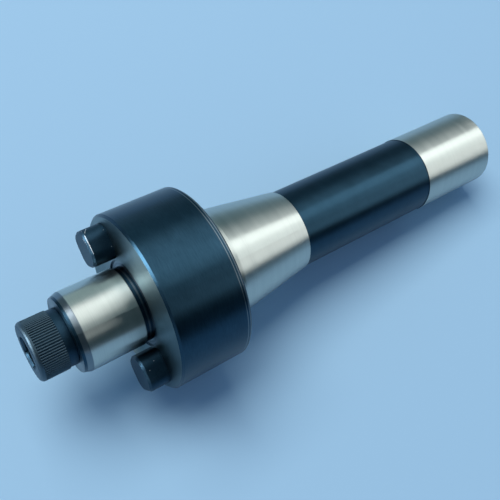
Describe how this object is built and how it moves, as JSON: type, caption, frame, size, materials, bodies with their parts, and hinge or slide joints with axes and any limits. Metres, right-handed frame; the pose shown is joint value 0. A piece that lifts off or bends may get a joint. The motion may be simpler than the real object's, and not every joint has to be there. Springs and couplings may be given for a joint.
{
  "type": "shell mill arbor",
  "caption": "R8 taper shell mill arbor with a ground pilot, a black flange, drive keys and a knurled socket lock screw.",
  "frame": {"origin": "centre of the flat drawbar end, on which the arbor stands", "axes": "+Z along the arbor's axis from the drawbar end to the nose, Y through the two drive keys, keyway on the -X side"},
  "size_m": [0.05, 0.05, 0.1566],
  "materials": {
    "ground_and_blackened_steel": "fine-ground tapers and bands, black oxide on the flange and the middle of the shank",
    "black_oxide_steel": "matt black oxide with light scuffs",
    "black_oxide_screw": "satin black oxide"
  },
  "bodies": {
    "arbor": {"arbor_body": "ground_and_blackened_steel", "drive_key_a": "black_oxide_steel", "drive_key_b": "black_oxide_steel"},
    "lock_screw": {"lock_screw": "black_oxide_screw"}
  },
  "joints": [
    {"name": "lock_screw_travel", "type": "slide", "parent": "arbor", "child": "lock_screw", "axis": [0, 0, 1], "range_m": [0, 0.024]}
  ]
}
